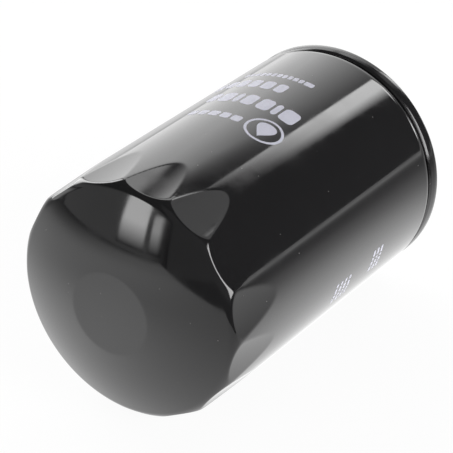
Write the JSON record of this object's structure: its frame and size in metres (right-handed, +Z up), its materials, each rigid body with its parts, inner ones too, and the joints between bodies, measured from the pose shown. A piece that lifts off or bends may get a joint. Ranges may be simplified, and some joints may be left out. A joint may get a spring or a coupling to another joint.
{
  "type": "spin-on oil filter",
  "caption": "Spin-on canister oil filter with a fluted domed wrench end, threaded mounting plate, sealing gasket, bypass valve and anti-drainback valve.",
  "frame": {"origin": "on the thread axis, at the tapping plate's outer face, where the thread starts", "axes": "+Y along the thread axis, out of the threaded end; the domed wrench end faces -Y; +Z is up with the can lying on its side"},
  "size_m": [0.076, 0.1246, 0.076],
  "materials": {
    "black_paint": "gloss",
    "zinc_steel": "gloss",
    "seam_compound": "matte",
    "plate_steel": "bright zinc, satin",
    "gasket_rubber": "matte, lightly oiled",
    "valve_rubber": "matte",
    "cap_steel": "tinned",
    "adhesive": "cured adhesive",
    "filter_paper": "resin-treated paper",
    "tube_steel": "tinned",
    "valve_steel": "zinc",
    "spring_steel": "oiled wire",
    "print_white": "screen print"
  },
  "bodies": {
    "can": {"can_shell": "black_paint", "seaming_lid": "zinc_steel", "seam_compound": "seam_compound", "tapping_plate": "plate_steel", "sealing_gasket": "gasket_rubber", "drainback_collar": "valve_rubber", "outlet_end_cap": "cap_steel", "outlet_potting": "adhesive", "pleated_media": "filter_paper", "media_seam_clip": "cap_steel", "centre_tube": "tube_steel", "closed_potting": "adhesive", "closed_end_cap": "cap_steel", "bypass_cage": "valve_steel", "bypass_seat": "valve_steel", "bypass_spring": "spring_steel", "element_spring": "spring_steel"},
    "bypass_valve": {"bypass_disc": "valve_steel", "bypass_seal": "valve_rubber", "bypass_stem": "valve_steel"},
    "drainback_valve": {"drainback_flap": "valve_rubber"}
  },
  "joints": [
    {"name": "bypass_lift", "type": "slide", "parent": "can", "child": "bypass_valve", "axis": [0, 1, 0], "range_m": [0, 0.004], "stiffness_N_per_m": 1500, "springref_m": -0.0075, "deforming": ["bypass_spring"]},
    {"name": "drainback_lift", "type": "slide", "parent": "can", "child": "drainback_valve", "axis": [0, -1, 0], "range_m": [0, 0.0018], "stiffness_N_per_m": 300, "springref_m": -0.001}
  ]
}
